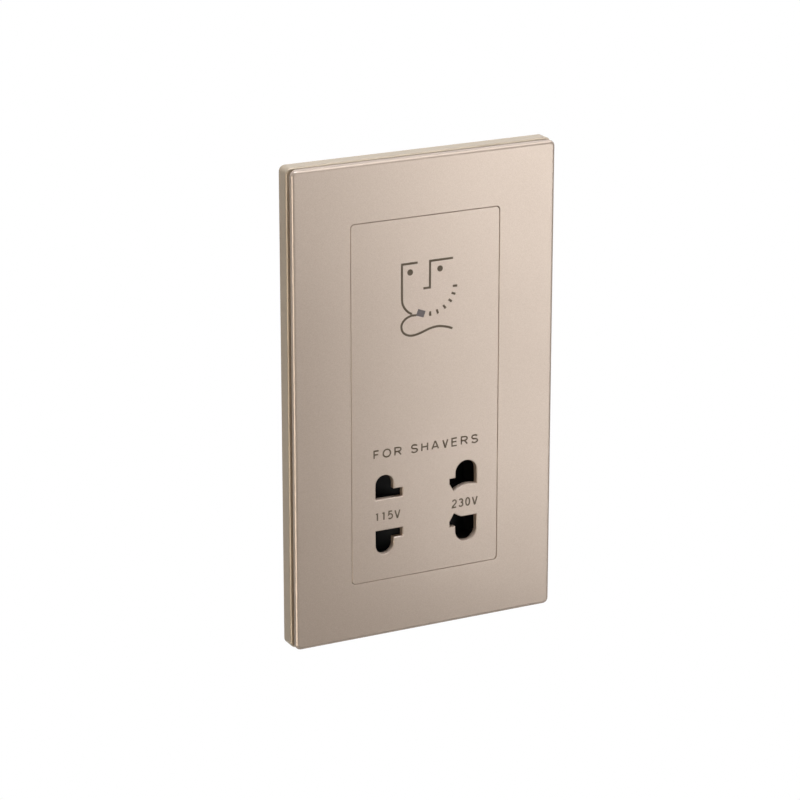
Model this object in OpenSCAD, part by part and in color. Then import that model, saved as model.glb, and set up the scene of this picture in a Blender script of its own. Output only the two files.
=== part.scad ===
// Two-voltage shaver socket on a tall two-gang wall plate.
// Millimetres. X runs right, Z up and Y into the wall. The origin lies on the wall face,
// halfway between the two fixing holes, and the plate faces -Y.

/* [Plate] */
// Overall width on the wall
plate_w = 86; // [84:0.5:92]
// Overall height on the wall
plate_h = 146; // [144:0.5:154]
// How far the face stands out from the wall
projection = 8; // [7.6:0.1:9]
// Depth of the base frame, from the wall to the shadow gap
base_t = 4.8; // [4.6:0.1:5]
// Shadow gap between the base frame and the cover plate
shadow_gap = 1; // [0.8:0.1:1.2]
// How far the cover plate's outline lies inside the base frame's
plate_inset = 0.25; // [0.1:0.05:0.5]
// Radius of the outer corners
corner_r = 1.8; // [1.4:0.1:3]
// Rounding of the cover plate's front edge
edge_r = 1; // [0.6:0.1:1.2]
// Rounding of the base frame's front edge
base_edge_r = 0.6; // [0.4:0.1:1]
// Distance between the two fixing holes
fixing_pitch = 120.6; // [120.6:0.1:121]
// Radius of a fixing hole
fixing_r = 2; // [1.9:0.05:2.2]

/* [Face insert] */
// Width of the insert seen in the plate's window
insert_w = 48.5; // [46:0.5:52]
// Height of the insert seen in the plate's window
insert_h = 110; // [108:0.5:111]
// Radius of the insert's corners
insert_corner_r = 1.2; // [0.8:0.1:2]
// Thickness of the insert's front wall
face_wall = 2; // [1.8:0.1:2.2]
// Hairline gap around the insert
insert_joint = 0.15; // [0.1:0.05:0.25]

/* [Plug apertures] */
// How far the middle of the four apertures lies below the plate's centre
pair_drop = 34.65; // [34:0.05:35.5]
// Half of the web left between an upper and a lower aperture
web_half = 4.9; // [4.7:0.1:5.1]
// Distance of the 115 V round holes from the centre line
low_x = 13.45; // [13.2:0.05:13.8]
// Radius of the 115 V round holes
low_r = 2.95; // [2.8:0.05:3.1]
// Height of the 115 V rounding's centre above the middle of its pair
low_rise = 9.4; // [9.2:0.1:9.6]
// Where the flat-blade slot ends, from the centre line
blade_end = 7.5; // [7.3:0.1:7.8]
// Height of the flat-blade slot
blade_h = 2.75; // [2.5:0.05:3]
// Distance of the 230 V round holes from the centre line
high_x = 13.8; // [13.6:0.05:14]
// Radius of the 230 V round holes
high_r = 3.55; // [3.4:0.05:3.6]
// Height of the 230 V rounding's centre above the middle of its pair
high_rise = 9.15; // [9:0.05:9.3]
// Where the slanted-blade slot ends, from the centre line
slant_end = 8.3; // [8.1:0.1:8.5]
// Height of the slanted slot's outer edge above the middle of its pair
slant_top = 7.6; // [7.4:0.1:7.8]
// Height at which the slanted slot's side turns inwards
slant_turn = 6; // [5.8:0.1:6.2]
// Sideways place of the slanted slot's tip, from the centre line
slant_tip_x = 9.75; // [9.5:0.05:9.9]
// Height of the slanted slot's tip above the middle of its pair
slant_tip_z = 3.6; // [3.4:0.1:3.8]
// Where the slanted slot meets the round hole's straight edge
slant_meet = 12.1; // [11.8:0.1:12.4]
// How far the lower rim of the upper 230 V aperture arches over a straight line
rim_arch = 0.9; // [0.6:0.1:1.1]

/* [Shutter] */
// How far the shutter slides each way
travel = 8.5; // [8:0.1:8.8]
// Half length of the shutter slide
slide_half = 17.6; // [17.6:0.1:18.4]
// Half width of the flat crown between the two ramps
crown_half = 6.5; // [6:0.1:7]
// Thickness of the slide, front to back
slide_t = 7.8; // [7.4:0.1:8.2]
// Thickness of the ramps' tails
tail_t = 1.2; // [1:0.1:1.6]
// Running gap in front of and behind the slide
slide_gap = 0.3; // [0.2:0.05:0.4]
// Radius of a spring bore in the slide
bore_r = 2.5; // [2.3:0.1:2.6]
// Depth of a spring bore
bore_depth = 8; // [7:0.5:9]
// Outer radius of a return spring
spring_r = 2.2; // [2:0.05:2.25]
// Radius of the spring wire
wire_r = 0.25; // [0.2:0.05:0.3]
// Turns of a return spring
spring_turns = 8; // [6:1:10]

/* [Contacts] */
// Thickness of the contact strip
strip_t = 0.5; // [0.4:0.1:0.6]
// Depth of a contact chamber
chamber_depth = 8.6; // [8:0.1:9.4]
// Space between an aperture's outline and its chamber's walls
chamber_margin = 0.7; // [0.6:0.05:0.8]
// Width of a solder tab
tab_w = 4; // [3:0.5:5]
// Length of a solder tab behind the retainer
tab_reach = 4; // [3:0.5:5]
// Thickness of the retainer behind the contacts
retainer_t = 1.6; // [1.4:0.1:2]

/* [Transformer] */
// Width of the core's laminations
core_w = 54; // [51:0.5:55]
// Depth of the core's stack
stack_t = 20; // [16:0.5:24]
// Space between the insert's wall and the windings
winding_front_gap = 4.15; // [4:0.05:5]
// Space between the core and the housing's top wall
core_top_gap = 6.5; // [5:0.5:7]
// Wall of the bobbin
bobbin_wall = 1; // [0.8:0.1:1.2]

/* [Housing] */
// Wall of the rear housing
housing_wall = 2; // [1.8:0.1:2.4]
// Depth of the terminal block
block_depth = 16.5; // [16:0.5:18]
// Spacing of the terminals
terminal_pitch = 13; // [12.5:0.1:14]
// Radius of a terminal's conductor hole
conductor_r = 2; // [1.8:0.1:2.2]

/* [Hidden] */

// Every cut runs past the faces it opens by this much.
over = 1;
// Segments in each rounded corner of an outline.
corner_n = 6;
// Segments in the half round of an aperture.
arch_n = 24;
// Fineness of true circles, and of the round corners of a tile.
$fn = 48;
tile_fn = 32;

// Plate and base frame
plate_t = projection - base_t - shadow_gap;
y_face = -projection;
y_plate_back = y_face + plate_t;
y_base = -base_t;
clip_seat = 1;
y_clip = y_plate_back - clip_seat;
rim_w = 1.6;
clip_gap = 0.1;
clip_ring_w = plate_w - 2 * (plate_inset + rim_w);
clip_ring_h = plate_h - 2 * (plate_inset + rim_w);
web_t = 2.2;
y_web_back = y_base + web_t;
skirt_t = 2.2;
seat_t = 2.4;
head_room_r = 3.9;
fixing_boss_r = 5;
fixing_z = fixing_pitch / 2;
rib_t = 1.2;
base_rib_rows_share = [-0.4, -0.2, -0.1, 0.1, 0.2, 0.4];
end_rib_x = [10, 30];

// Slide, carrier and chambers
pair_z = -pair_drop;
y_wall = y_face + face_wall;
y_slide = y_wall + slide_gap;
y_slide_back = y_slide + slide_t;
y_bar = y_base + slide_gap + clip_gap;
y_floor = y_slide_back + slide_gap;
slide_top_lap = 0.6;
slide_half_h = high_rise + high_r + slide_top_lap;
bar_half_h = web_half - slide_top_lap - slide_gap / 2;
slide_wall = 1.4;
cavity_half = slide_half + travel + slide_gap;
cavity_half_h = slide_half_h + slide_gap;
carrier_wall = 1.3;
carrier_half = cavity_half + carrier_wall;
carrier_half_h = cavity_half_h + carrier_wall;
y_carrier = y_base + slide_gap;
floor_t = 1.4;
y_chamber = y_floor + floor_t;
y_carrier_back = y_chamber + chamber_depth;
y_retainer_back = y_carrier_back + retainer_t;
chamber_low = web_half - chamber_margin;
chamber_high = high_rise + high_r + chamber_margin;
low_chamber = [-low_x - low_r - chamber_margin, -blade_end + chamber_margin];
high_chamber = [slant_end - chamber_margin, high_x + high_r + chamber_margin];
jaw_side_gap = 0.6;
link_z = (chamber_low + chamber_high) / 2;
base_share = 0.9;
y_jaw = y_chamber + base_share * chamber_depth;
low_mid = (low_chamber[0] + low_chamber[1]) / 2;
high_mid = (high_chamber[0] + high_chamber[1]) / 2;
tab_places = [[low_mid, link_z], [high_mid, link_z], [0, -link_z]];
// A jaw's bends, as shares of the chamber's depth and height, from one mouth round to the other.
jaw_bends_share = [[0.06, 0.12], [0.34, 0.24], [0.62, 0.14], [0.9, 0.12],
                   [0.9, 0.88], [0.62, 0.86], [0.34, 0.68], [0.06, 0.84]];

// Return springs
y_bore = (y_bar + y_slide_back) / 2;
wire_sides = 6;
coil_segments = 12;
spring_clear = 0.1;

// Small screws of the contact block
ear_r = 3.2;
ear_t = 2.5;
ear_x = 20;
ear_rise = 3;
ear_z = pair_z + carrier_half_h + ear_rise;
y_ear = y_carrier + carrier_wall + clip_gap;
small_screw_r = 1;
small_head_r = 2;
small_head_t = 1.6;
small_screw_l = 5;
y_pilot = y_ear + ear_t - small_screw_l - clip_gap;
thread_gap = 0.02;
retainer_screw_x = (high_chamber[1] + cavity_half) / 2;

// Transformer, worked out from the width of its laminations
leg = core_w / 6;
core_h = 5 * leg;
window_h = 3 * leg;
bobbin_gap = 0.15;
flange_t = 1;
winding_t = leg - bobbin_wall - 4 * bobbin_gap;
bobbin_half = leg + bobbin_gap + bobbin_wall;
bobbin_half_d = stack_t / 2 + bobbin_gap + bobbin_wall;
flange_out = 0.4;
bobbin_flange_w = bobbin_half + winding_t + flange_out / 2;
bobbin_flange_d = bobbin_half_d + winding_t + flange_out;
core_y = y_wall + winding_front_gap + bobbin_half_d + winding_t;
section_h = (window_h - 2 * bobbin_gap - 3 * flange_t) / 2;
cutout_r = 1.6;
cutout_half = 5;
cutout_lead_r = 0.4;
cutout_lead_l = 4;
y_cutout = core_y - bobbin_half_d - winding_t - cutout_r - clip_gap;

// Housing
base_window_gap = 0.6;
window_half = carrier_half + base_window_gap;
rim_lap = 1.7;
side_room = 3;
housing_in = max(window_half + rim_lap, core_w / 2 + side_room);
housing_half = housing_in + housing_wall;
end_room = 1.2;
housing_in_h = pair_drop + carrier_half_h + end_room;
housing_half_h = housing_in_h + housing_wall;
window_end_gap = 0.4;
window_half_h = housing_in_h - window_end_gap;
housing_r = 3;
back_room = 1.2;
y_housing_in = core_y + bobbin_half_d + winding_t + flange_out + back_room;
y_housing = y_housing_in + housing_wall;
core_top = housing_in_h - core_top_gap;
core_bottom = core_top - core_h;
z_bobbin = core_bottom + leg + bobbin_gap;
cutout_z = z_bobbin + flange_t + section_h / 2;
core_hole_r = 1.8;
core_hole_x = core_w / 2 - leg / 2;
post_r = 3.8;
core_screw_r = 1.7;
core_screw_bite = 6;
core_head_r = 3;
core_head_t = 2.2;
lug_x = 20;
lug_r = 3.6;
lug_z = housing_half_h + lug_r + 2 * clip_gap;
lug_t = 2.5;
lug_hole_r = 1.8;
housing_screw_r = 1.6;
housing_head_r = 2.9;
housing_head_t = 1.9;
housing_screw_bite = 4;
vent_w = 2;
vent_h = 22;
vent_pitch = 5;
vent_count = 7;
vent_r = 0.9;

// Flange and latches of the insert, and hooks of the cover plate
flange_lap = 2.2;
flange_lap_h = 1;
flange_half = window_half + flange_lap;
flange_half_h = insert_h / 2 + flange_lap_h;
insert_skirt_t = 2;
insert_rib_h = 1.1;
insert_rib_rows_share = [0.12, 0.36, 0.6, 0.84];
latch_w = 8;
latch_t = 1.6;
latch_rows_share = [-0.2, 0.75];
hook_x = (flange_half + clip_ring_w / 2) / 2;
hook_rows_share = [-0.72, 0, 0.72];
hook_t = 1.4;
hook_w = 8;
hook_nose = 0.7;
hook_gap = 0.2;
hook_tip = 1.6;
y_hook = y_web_back + hook_tip;
clip_skin_t = 0.8;

// Terminals
block_end = 1.5;
block_half = 3 * terminal_pitch / 2 + block_end;
block_h = 14;
block_floor_gap = 0.4;
block_low = -housing_in_h + block_floor_gap;
block_z = block_low + block_h / 2;
y_block = y_housing_in - block_depth;
entry_gap = 0.6;
cradle_t = 1.6;
cradle_x = block_half + cradle_t / 2 + clip_gap;
clamp_w = 8;
clamp_h = 10;
clamp_d = 9;
clamp_gap = 0.15;
clamp_roof_t = 1;
clamp_inset = 2;
y_clamp = y_block + clamp_inset;
terminal_screw_r = 1.75;
terminal_head_r = 2.6;
terminal_head_t = 2.4;
access_r = 3.1;
slot_w = 0.8;
slot_depth = 1;

// Leads: they run behind the retainer, cross over between the contact block and the core,
// and end at the front of the bobbin's bottom flange or at the thermal cut-out
lead_r = 0.8;
lead_sides = 8;
lead_steps = 3;
lead_gap = 0.2;
pin_gap = 0.6;
lead_room = 3;
// A direction that no lead starts along.
lead_side = [1, 0.1, 0.2];
y_run = y_retainer_back + tab_reach / 2;
y_bend = (y_retainer_back + y_block) / 2;
y_pin = core_y - (stack_t / 2 + bobbin_flange_d) / 2;
cross_share = 0.3;
y_cross = y_pin + cross_share * (y_run - y_pin);
z_over = pair_z + carrier_half_h + lead_r;
z_cross = (z_over + core_bottom) / 2;
x_lane = (high_mid + tab_w / 2 + retainer_screw_x - small_head_r) / 2;
x_side = carrier_half - 2 * lead_r;
// Places along the bobbin's flange: 115 V, common, 230 V and neutral.
pin_places_share = [-0.55, 0, 0.55, 0.9];
pin_x = bobbin_flange_w * pin_places_share;

function arc_points(cx, cy, r, a0, a1, n) =
    [for (i = [0:n]) let(a = a0 + (a1 - a0) * i / n) [cx + r * cos(a), cy + r * sin(a)]];
function round_rect(w, h, r) = concat(
    arc_points(w / 2 - r, h / 2 - r, r, 0, 90, corner_n),
    arc_points(-w / 2 + r, h / 2 - r, r, 90, 180, corner_n),
    arc_points(-w / 2 + r, -h / 2 + r, r, 180, 270, corner_n),
    arc_points(w / 2 - r, -h / 2 + r, r, 270, 360, corner_n));
function unit(v) = v / norm(v);
function left_of(d) = [-d[1], d[0]];
function bisector(a, b) = unit(a + b) / (unit(a + b) * a);
function side_of(p, i) =
    i == 0 ? left_of(unit(p[1] - p[0])) :
    i == len(p) - 1 ? left_of(unit(p[i] - p[i - 1])) :
    bisector(left_of(unit(p[i] - p[i - 1])), left_of(unit(p[i + 1] - p[i])));
// An arc from a to b that stands to the left of the straight line between them by sag.
function arched(a, b, sag) =
    let(half = norm(b - a) / 2,
        r = (half * half + sag * sag) / (2 * sag),
        side = left_of(unit(b - a)),
        centre = (a + b) / 2 - side * (r - sag),
        middle = atan2(side[1], side[0]),
        turn = asin(half / r))
    arc_points(centre[0], centre[1], r, middle + turn, middle - turn, corner_n);
// Outline of a strip of even thickness bent along a path.
function strip_outline(p, t) = concat(
    [for (i = [0:len(p) - 1]) p[i] + side_of(p, i) * t / 2],
    [for (i = [len(p) - 1:-1:0]) p[i] - side_of(p, i) * t / 2]);

// An outline in X and Z, made solid from y0 back to y1.
module layer(y0, y1) {
    translate([0, y1, 0])
        rotate([90, 0, 0])
            linear_extrude(y1 - y0)
                children();
}

// A rounded rectangle in X and Z, made solid from y0 back to y1.
module slab(w, h, r, y0, y1) {
    layer(y0, y1)
        polygon(round_rect(w, h, r));
}

// A box from its lowest to its highest corner.
module box(low, high) {
    translate(low)
        cube(high - low);
}

// A rod along Y from y0 to y1.
module rod(x, z, r, y0, y1) {
    translate([x, y1, z])
        rotate([90, 0, 0])
            cylinder(h = y1 - y0, r = r);
}

// A flat tile whose upright corners and front edge are rounded.
module tile(w, h, t, r, edge) {
    profile = concat([[0, 0], [r, 0]], arc_points(r - edge, t - edge, edge, 0, 90, corner_n), [[0, t]]);
    hull() {
        for (sx = [-1, 1], sz = [-1, 1])
            translate([sx * (w / 2 - r), 0, sz * (h / 2 - r)])
                rotate([90, 0, 0])
                    rotate_extrude($fn = tile_fn)
                        polygon(profile);
    }
}

// Screw along Y with a pan head; the point looks along -Y.
module screw(x, z, y_head, r, length, head_r, head_t) {
    difference() {
        union() {
            rod(x, z, head_r, y_head, y_head + head_t);
            rod(x, z, r, y_head - length, y_head + head_t / 2);
        }
        box([x - head_r - over, y_head + head_t - slot_depth, z - slot_w / 2],
            [x + head_r + over, y_head + head_t + over, z + slot_w / 2]);
    }
}

// Outline of an upper 115 V aperture about the middle of its pair: round pin and flat blade.
module low_outline(grow) {
    polygon(concat(
        [[-low_x - low_r - grow, web_half - grow], [-blade_end + grow, web_half - grow],
         [-blade_end + grow, web_half + blade_h + grow], [-low_x + low_r + grow, web_half + blade_h + grow]],
        arc_points(-low_x, low_rise, low_r + grow, 0, 180, arch_n)));
}

// Outline of a 230 V aperture: round pin and slanted blade. Its rim on the web is arched, or straight
// with a slant towards the slot's tip.
module high_outline(grow, arch) {
    tip = [slant_tip_x, slant_tip_z - grow];
    meet = [slant_meet, web_half - grow];
    foot = [high_x + high_r + grow, web_half - grow];
    polygon(concat(
        arch > 0 ? arched(tip, foot, arch) : [tip, meet, foot],
        arc_points(high_x, high_rise, high_r + grow, 0, 180, arch_n),
        [[high_x - high_r - grow, slant_top + grow], [slant_end - grow, slant_top + grow],
         [slant_end - grow, slant_turn]]));
}

// The four aperture outlines in place.
module aperture_outlines(grow = 0) {
    translate([0, pair_z])
        for (s = [0, 1])
            mirror([0, s]) {
                low_outline(grow);
                high_outline(grow, s == 0 ? rim_arch : 0);
            }
}

module front_plate() {
    color("#c9bba9") difference() {
        translate([0, y_plate_back, 0])
            tile(plate_w - 2 * plate_inset, plate_h - 2 * plate_inset, plate_t, corner_r, edge_r);
        slab(insert_w + 2 * insert_joint, insert_h + 2 * insert_joint, insert_corner_r,
             y_face - over, y_plate_back + over);
        difference() {
            slab(clip_ring_w + 2 * clip_gap, clip_ring_h + 2 * clip_gap, corner_r,
                 y_clip, y_plate_back + over);
            slab(2 * (flange_half + clip_gap), 2 * (flange_half_h + clip_gap), corner_r,
                 y_clip - over, y_plate_back + 2 * over);
        }
    }
}

// The frame's ends have a pocket over each fixing screw's head, open to the insert's flange.
module clip_frame() {
    inner_half_h = flange_half_h + 2 * clip_gap;
    color("#4a4744") {
        difference() {
            slab(clip_ring_w, clip_ring_h, corner_r, y_clip, y_base);
            slab(2 * (flange_half + 2 * clip_gap), 2 * inner_half_h, corner_r, y_clip - over, y_base + over);
            for (s = [0, 1])
                mirror([0, 0, s]) {
                    rod(0, fixing_z, head_room_r, y_clip + clip_skin_t, y_base + over);
                    box([-head_room_r, y_clip + clip_skin_t, inner_half_h - over],
                        [head_room_r, y_base + over, fixing_z]);
                }
        }
        for (s = [0, 1], k = hook_rows_share)
            mirror([s, 0, 0])
                translate([hook_x, 0, k * flange_half_h])
                    clip_hook();
    }
}

// A hook with a wedge nose that snaps behind the base frame's web.
module clip_hook() {
    translate([0, 0, -hook_w / 2])
        linear_extrude(hook_w)
            polygon([[-hook_t / 2, y_base - clip_gap], [hook_t / 2, y_base - clip_gap],
                     [hook_t / 2, y_web_back + clip_gap], [hook_t / 2 + hook_nose, y_web_back + clip_gap],
                     [hook_t / 2, y_hook], [-hook_t / 2, y_hook]]);
}

module base_frame() {
    color("#8f857a") difference() {
        union() {
            difference() {
                tile(plate_w, plate_h, base_t, corner_r, base_edge_r);
                slab(plate_w - 2 * skirt_t, plate_h - 2 * skirt_t, corner_r, y_web_back, over);
            }
            for (s = [-1, 1]) {
                rod(0, s * fixing_z, fixing_boss_r, y_web_back - web_t / 2, 0);
                for (sx = [-1, 1])
                    rod(sx * lug_x, s * lug_z, lug_r, y_web_back - web_t / 2, 0);
            }
            base_ribs();
        }
        slab(2 * window_half, 2 * window_half_h, corner_r, y_base - over, over);
        for (s = [-1, 1]) {
            rod(0, s * fixing_z, fixing_r, y_base - over, over);
            rod(0, s * fixing_z, head_room_r, y_base - over, -seat_t);
            for (sx = [-1, 1])
                rod(sx * lug_x, s * lug_z, housing_screw_r + thread_gap,
                    -housing_screw_bite - clip_gap, over);
        }
        for (s = [0, 1], k = hook_rows_share)
            mirror([s, 0, 0])
                translate([hook_x, 0, k * flange_half_h])
                    box([-hook_t / 2 - hook_gap, y_base - over, -hook_w / 2 - hook_gap],
                        [hook_t / 2 + hook_nose + hook_gap, y_web_back + over, hook_w / 2 + hook_gap]);
    }
}

// Ribs on the back of the frame, from its rim to just short of the housing.
module base_ribs() {
    for (s = [0, 1]) {
        mirror([s, 0, 0])
            for (k = base_rib_rows_share)
                box([housing_half + clip_gap, y_web_back - web_t / 2, k * plate_h - rib_t / 2],
                    [plate_w / 2 - skirt_t / 2, 0, k * plate_h + rib_t / 2]);
        mirror([0, 0, s])
            for (sx = [-1, 1], x = end_rib_x)
                box([sx * x - rib_t / 2, y_web_back - web_t / 2, housing_half_h + clip_gap],
                    [sx * x + rib_t / 2, 0, plate_h / 2 - skirt_t / 2]);
    }
}

module face_insert() {
    color("#cdbfad") {
        difference() {
            union() {
                slab(insert_w, insert_h, insert_corner_r, y_face, y_base);
                slab(2 * flange_half, 2 * flange_half_h, corner_r, y_plate_back, y_base);
            }
            difference() {
                slab(insert_w - 2 * insert_skirt_t, insert_h - 2 * insert_skirt_t, insert_corner_r,
                     y_wall, y_base + over);
                for (k = insert_rib_rows_share)
                    box([-insert_w / 2, y_wall - over, k * insert_h / 2 - rib_t / 2],
                        [insert_w / 2, y_wall + insert_rib_h, k * insert_h / 2 + rib_t / 2]);
                for (sx = [-1, 1])
                    rod(sx * ear_x, ear_z, ear_r - 2 * clip_gap, y_wall - over, y_base + 2 * over);
            }
            layer(y_face - over, y_wall + over)
                aperture_outlines();
            for (sx = [-1, 1])
                rod(sx * ear_x, ear_z, small_screw_r + thread_gap, y_pilot, y_ear + over);
        }
        for (sx = [-1, 1])
            difference() {
                rod(sx * ear_x, ear_z, ear_r - 2 * clip_gap, y_base - shadow_gap / 2, y_ear);
                rod(sx * ear_x, ear_z, small_screw_r + thread_gap, y_base - over, y_ear + over);
            }
        for (s = [0, 1], k = latch_rows_share)
            mirror([s, 0, 0])
                translate([0, 0, k * window_half_h])
                    insert_latch();
    }
}

// A latch at the side of the insert that snaps behind the base frame's window edge.
module insert_latch() {
    x_out = window_half - clip_gap;
    translate([0, 0, -latch_w / 2])
        linear_extrude(latch_w)
            polygon([[x_out - carrier_wall / 2, y_base - shadow_gap / 2], [x_out, y_base - shadow_gap / 2],
                     [x_out, y_web_back + clip_gap], [x_out + hook_nose, y_web_back + clip_gap],
                     [x_out, y_web_back + latch_t], [x_out - carrier_wall / 2, y_web_back + latch_t]]);
}

module shutter_slide() {
    y_tail = y_slide_back - tail_t;
    color("#2b2a29") translate([0, 0, pair_z]) difference() {
        union() {
            difference() {
                translate([0, 0, -slide_half_h])
                    linear_extrude(2 * slide_half_h)
                        polygon([[-slide_half, y_tail], [-crown_half, y_slide], [crown_half, y_slide],
                                 [slide_half, y_tail], [slide_half, y_slide_back],
                                 [-slide_half, y_slide_back]]);
                translate([0, 0, -slide_half_h + slide_wall])
                    linear_extrude(2 * (slide_half_h - slide_wall))
                        polygon([[-slide_half + slide_t / 2, y_slide_back + over],
                                 [-crown_half, y_slide + 2 * slide_wall],
                                 [crown_half, y_slide + 2 * slide_wall],
                                 [slide_half - slide_t / 2, y_slide_back + over]]);
            }
            box([-slide_half, y_bar, -bar_half_h], [slide_half, y_slide_back, bar_half_h]);
        }
        for (s = [-1, 1])
            translate([s * (slide_half + over), y_bore, 0])
                rotate([0, -s * 90, 0])
                    cylinder(h = bore_depth + over, r = bore_r);
    }
}

// Points of one ring of the spring wire, at a share of the way along the coil.
function spring_ring(share, length, turns) =
    let(a = 360 * turns * share,
        mean_r = spring_r - wire_r,
        rise = (length - 2 * wire_r) / (2 * PI * turns),
        out = [0, cos(a), sin(a)],
        along = unit([rise, -mean_r * sin(a), mean_r * cos(a)]),
        up = cross(along, out))
    [for (j = [0:wire_sides - 1])
        [wire_r + share * (length - 2 * wire_r), 0, 0] + out * mean_r
        + wire_r * (cos(360 * j / wire_sides) * out + sin(360 * j / wire_sides) * up)];

// A closed skin through rings of equal count.
module skin(rings) {
    k = len(rings[0]);
    n = len(rings);
    polyhedron(
        points = [for (r = rings) each r],
        faces = concat(
            [[for (j = [0:k - 1]) j]],
            [for (i = [0:n - 2], j = [0:k - 1]) [i * k + j, (i + 1) * k + j, (i + 1) * k + (j + 1) % k]],
            [for (i = [0:n - 2], j = [0:k - 1]) [i * k + j, (i + 1) * k + (j + 1) % k, i * k + (j + 1) % k]],
            [[for (j = [k - 1:-1:0]) (n - 1) * k + j]]));
}

// A return spring from the carrier's side wall to the bottom of the slide's bore.
module return_spring() {
    length = cavity_half - (slide_half - bore_depth) - 2 * spring_clear;
    steps = spring_turns * coil_segments;
    color("#b9bcc0") translate([-cavity_half + spring_clear, y_bore, pair_z])
        skin([for (i = [0:steps]) spring_ring(i / steps, length, spring_turns)]);
}

module spring_left() {
    return_spring();
}

module spring_right() {
    mirror([1, 0, 0])
        return_spring();
}

// The four chambers, from y0 to y1, each grown by a margin.
module chamber_boxes(y0, y1) {
    for (c = [low_chamber, high_chamber], s = [0, 1])
        translate([0, 0, pair_z])
            mirror([0, 0, s])
                box([c[0], y0, chamber_low], [c[1], y1, chamber_high]);
}

module contact_carrier() {
    color("#35322f") difference() {
        union() {
            translate([0, 0, pair_z])
                slab(2 * carrier_half, 2 * carrier_half_h, carrier_wall, y_carrier, y_carrier_back);
            for (sx = [-1, 1]) {
                rod(sx * ear_x, ear_z, ear_r, y_ear, y_ear + ear_t);
                box([sx * ear_x - ear_r + clip_gap, y_ear, pair_z + carrier_half_h - carrier_wall],
                    [sx * ear_x + ear_r - clip_gap, y_ear + ear_t, ear_z]);
            }
        }
        box([-cavity_half, y_carrier - over, pair_z - cavity_half_h],
            [cavity_half, y_floor, pair_z + cavity_half_h]);
        layer(y_floor - over, y_chamber + over)
            aperture_outlines(slide_gap);
        chamber_boxes(y_chamber, y_carrier_back + over);
        box([low_chamber[1] - over, y_jaw - strip_t, pair_z - link_z - tab_w / 2 - slide_gap],
            [high_chamber[0] + over, y_carrier_back + over, pair_z - link_z + tab_w / 2 + slide_gap]);
        for (sx = [-1, 1]) {
            rod(sx * ear_x, ear_z, small_screw_r + clip_gap, y_ear - over, y_ear + ear_t + over);
            rod(sx * retainer_screw_x, pair_z, small_screw_r + thread_gap,
                y_retainer_back - small_screw_l - clip_gap, y_carrier_back + over);
        }
    }
}

// Slots and holes of the retainer follow the tabs and screws they let through.
module contact_retainer() {
    color("#6d655c") translate([0, 0, pair_z]) difference() {
        slab(2 * carrier_half, 2 * carrier_half_h, carrier_wall, y_carrier_back, y_retainer_back);
        for (p = tab_places)
            box([p[0] - tab_w / 2 - slide_gap, y_carrier_back - over, p[1] - strip_t / 2 - slide_gap],
                [p[0] + tab_w / 2 + slide_gap, y_retainer_back + over, p[1] + strip_t / 2 + slide_gap]);
        for (sx = [-1, 1])
            rod(sx * retainer_screw_x, 0, small_screw_r + clip_gap,
                y_carrier_back - over, y_retainer_back + over);
    }
}

module small_screw(x, z, y_head) {
    screw(x, z, y_head, small_screw_r, small_screw_l, small_head_r, small_head_t);
}

module carrier_screws() {
    color("#c2c4c6")
        for (sx = [-1, 1]) {
            small_screw(sx * ear_x, ear_z, y_ear + ear_t);
            small_screw(sx * retainer_screw_x, pair_z, y_retainer_back);
        }
}

// A pair of spring leaves joined at the back, seen along X, as wide as the chamber allows.
module jaw(c) {
    height = chamber_high - chamber_low;
    path = [for (b = jaw_bends_share) [y_chamber + b[0] * chamber_depth, chamber_low + b[1] * height]];
    translate([c[0] + jaw_side_gap, 0, 0])
        rotate([90, 0, 90])
            linear_extrude(c[1] - c[0] - 2 * jaw_side_gap)
                polygon(strip_outline(path, strip_t));
}

// A solder tab that stands back from a jaw through the retainer.
module tab(x, z) {
    box([x - tab_w / 2, y_jaw, z - strip_t / 2],
        [x + tab_w / 2, y_retainer_back + tab_reach, z + strip_t / 2]);
}

module contact_115() {
    color("#c8a24b") translate([0, 0, pair_z]) {
        jaw(low_chamber);
        tab(low_mid, link_z);
    }
}

module contact_230() {
    color("#c8a24b") translate([0, 0, pair_z]) {
        jaw(high_chamber);
        tab(high_mid, link_z);
    }
}

module contact_common() {
    color("#c8a24b") translate([0, 0, pair_z]) {
        mirror([0, 0, 1]) {
            jaw(low_chamber);
            jaw(high_chamber);
            tab(0, link_z);
            box([low_mid, y_jaw - strip_t / 2, link_z - tab_w / 2],
                [high_mid, y_jaw + strip_t / 2, link_z + tab_w / 2]);
        }
    }
}

module core_e() {
    limb_top = core_top - leg;
    yoke_top = core_bottom + leg;
    color("#5f6266") difference() {
        layer(core_y - stack_t / 2, core_y + stack_t / 2)
            polygon([[-core_w / 2, core_bottom], [core_w / 2, core_bottom], [core_w / 2, limb_top],
                     [2 * leg, limb_top], [2 * leg, yoke_top], [leg, yoke_top], [leg, limb_top],
                     [-leg, limb_top], [-leg, yoke_top], [-2 * leg, yoke_top], [-2 * leg, limb_top],
                     [-core_w / 2, limb_top]]);
        for (sx = [-1, 1])
            rod(sx * core_hole_x, core_bottom + leg / 2, core_hole_r, y_wall, y_housing);
    }
}

module core_i() {
    color("#6a6d71") difference() {
        box([-core_w / 2, core_y - stack_t / 2, core_top - leg],
            [core_w / 2, core_y + stack_t / 2, core_top]);
        for (sx = [-1, 1])
            rod(sx * core_hole_x, core_top - leg / 2, core_hole_r, y_wall, y_housing);
    }
}

// Four screws through the core's corners into the housing's posts.
module core_screws() {
    color("#c2c4c6")
        for (sx = [-1, 1], z = [core_bottom + leg / 2, core_top - leg / 2])
            translate([sx * core_hole_x, core_y - stack_t / 2, z])
                mirror([0, 1, 0])
                    screw(0, 0, 0, core_screw_r, stack_t + core_screw_bite, core_head_r, core_head_t);
}

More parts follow.
